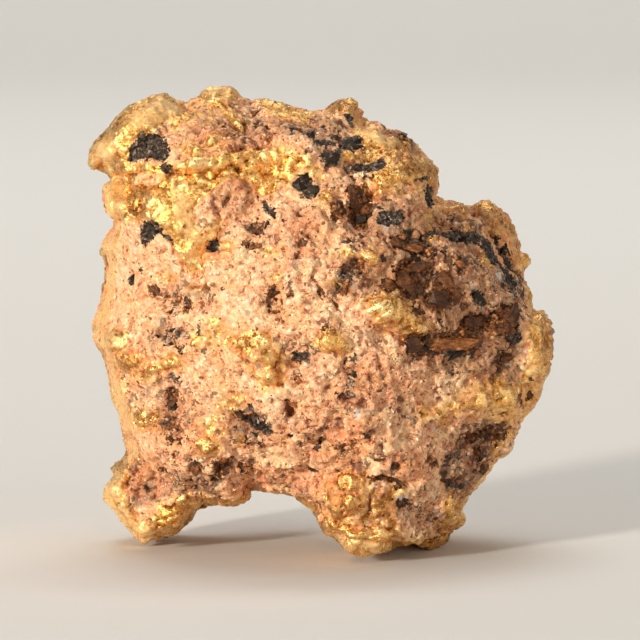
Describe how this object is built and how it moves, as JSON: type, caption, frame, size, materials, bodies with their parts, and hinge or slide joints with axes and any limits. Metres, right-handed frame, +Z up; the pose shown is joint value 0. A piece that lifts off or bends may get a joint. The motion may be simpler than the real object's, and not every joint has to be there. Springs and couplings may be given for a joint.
{
  "type": "gold nugget",
  "caption": "Lumpy gold nugget grown through a pink sugary matrix with dark iron-mineral grains, standing on worn feet.",
  "frame": {"origin": "centre of the bounding box, on the resting plane under the feet", "axes": "+X to the nugget's right as seen from its open matrix face, +Y from that face to the back, +Z up"},
  "size_m": [0.0216, 0.0152, 0.0217],
  "materials": {
    "nugget": "granular salmon-pink matrix between worn, satin native gold"
  },
  "bodies": {
    "root": {"nugget": "nugget"}
  },
  "joints": []
}
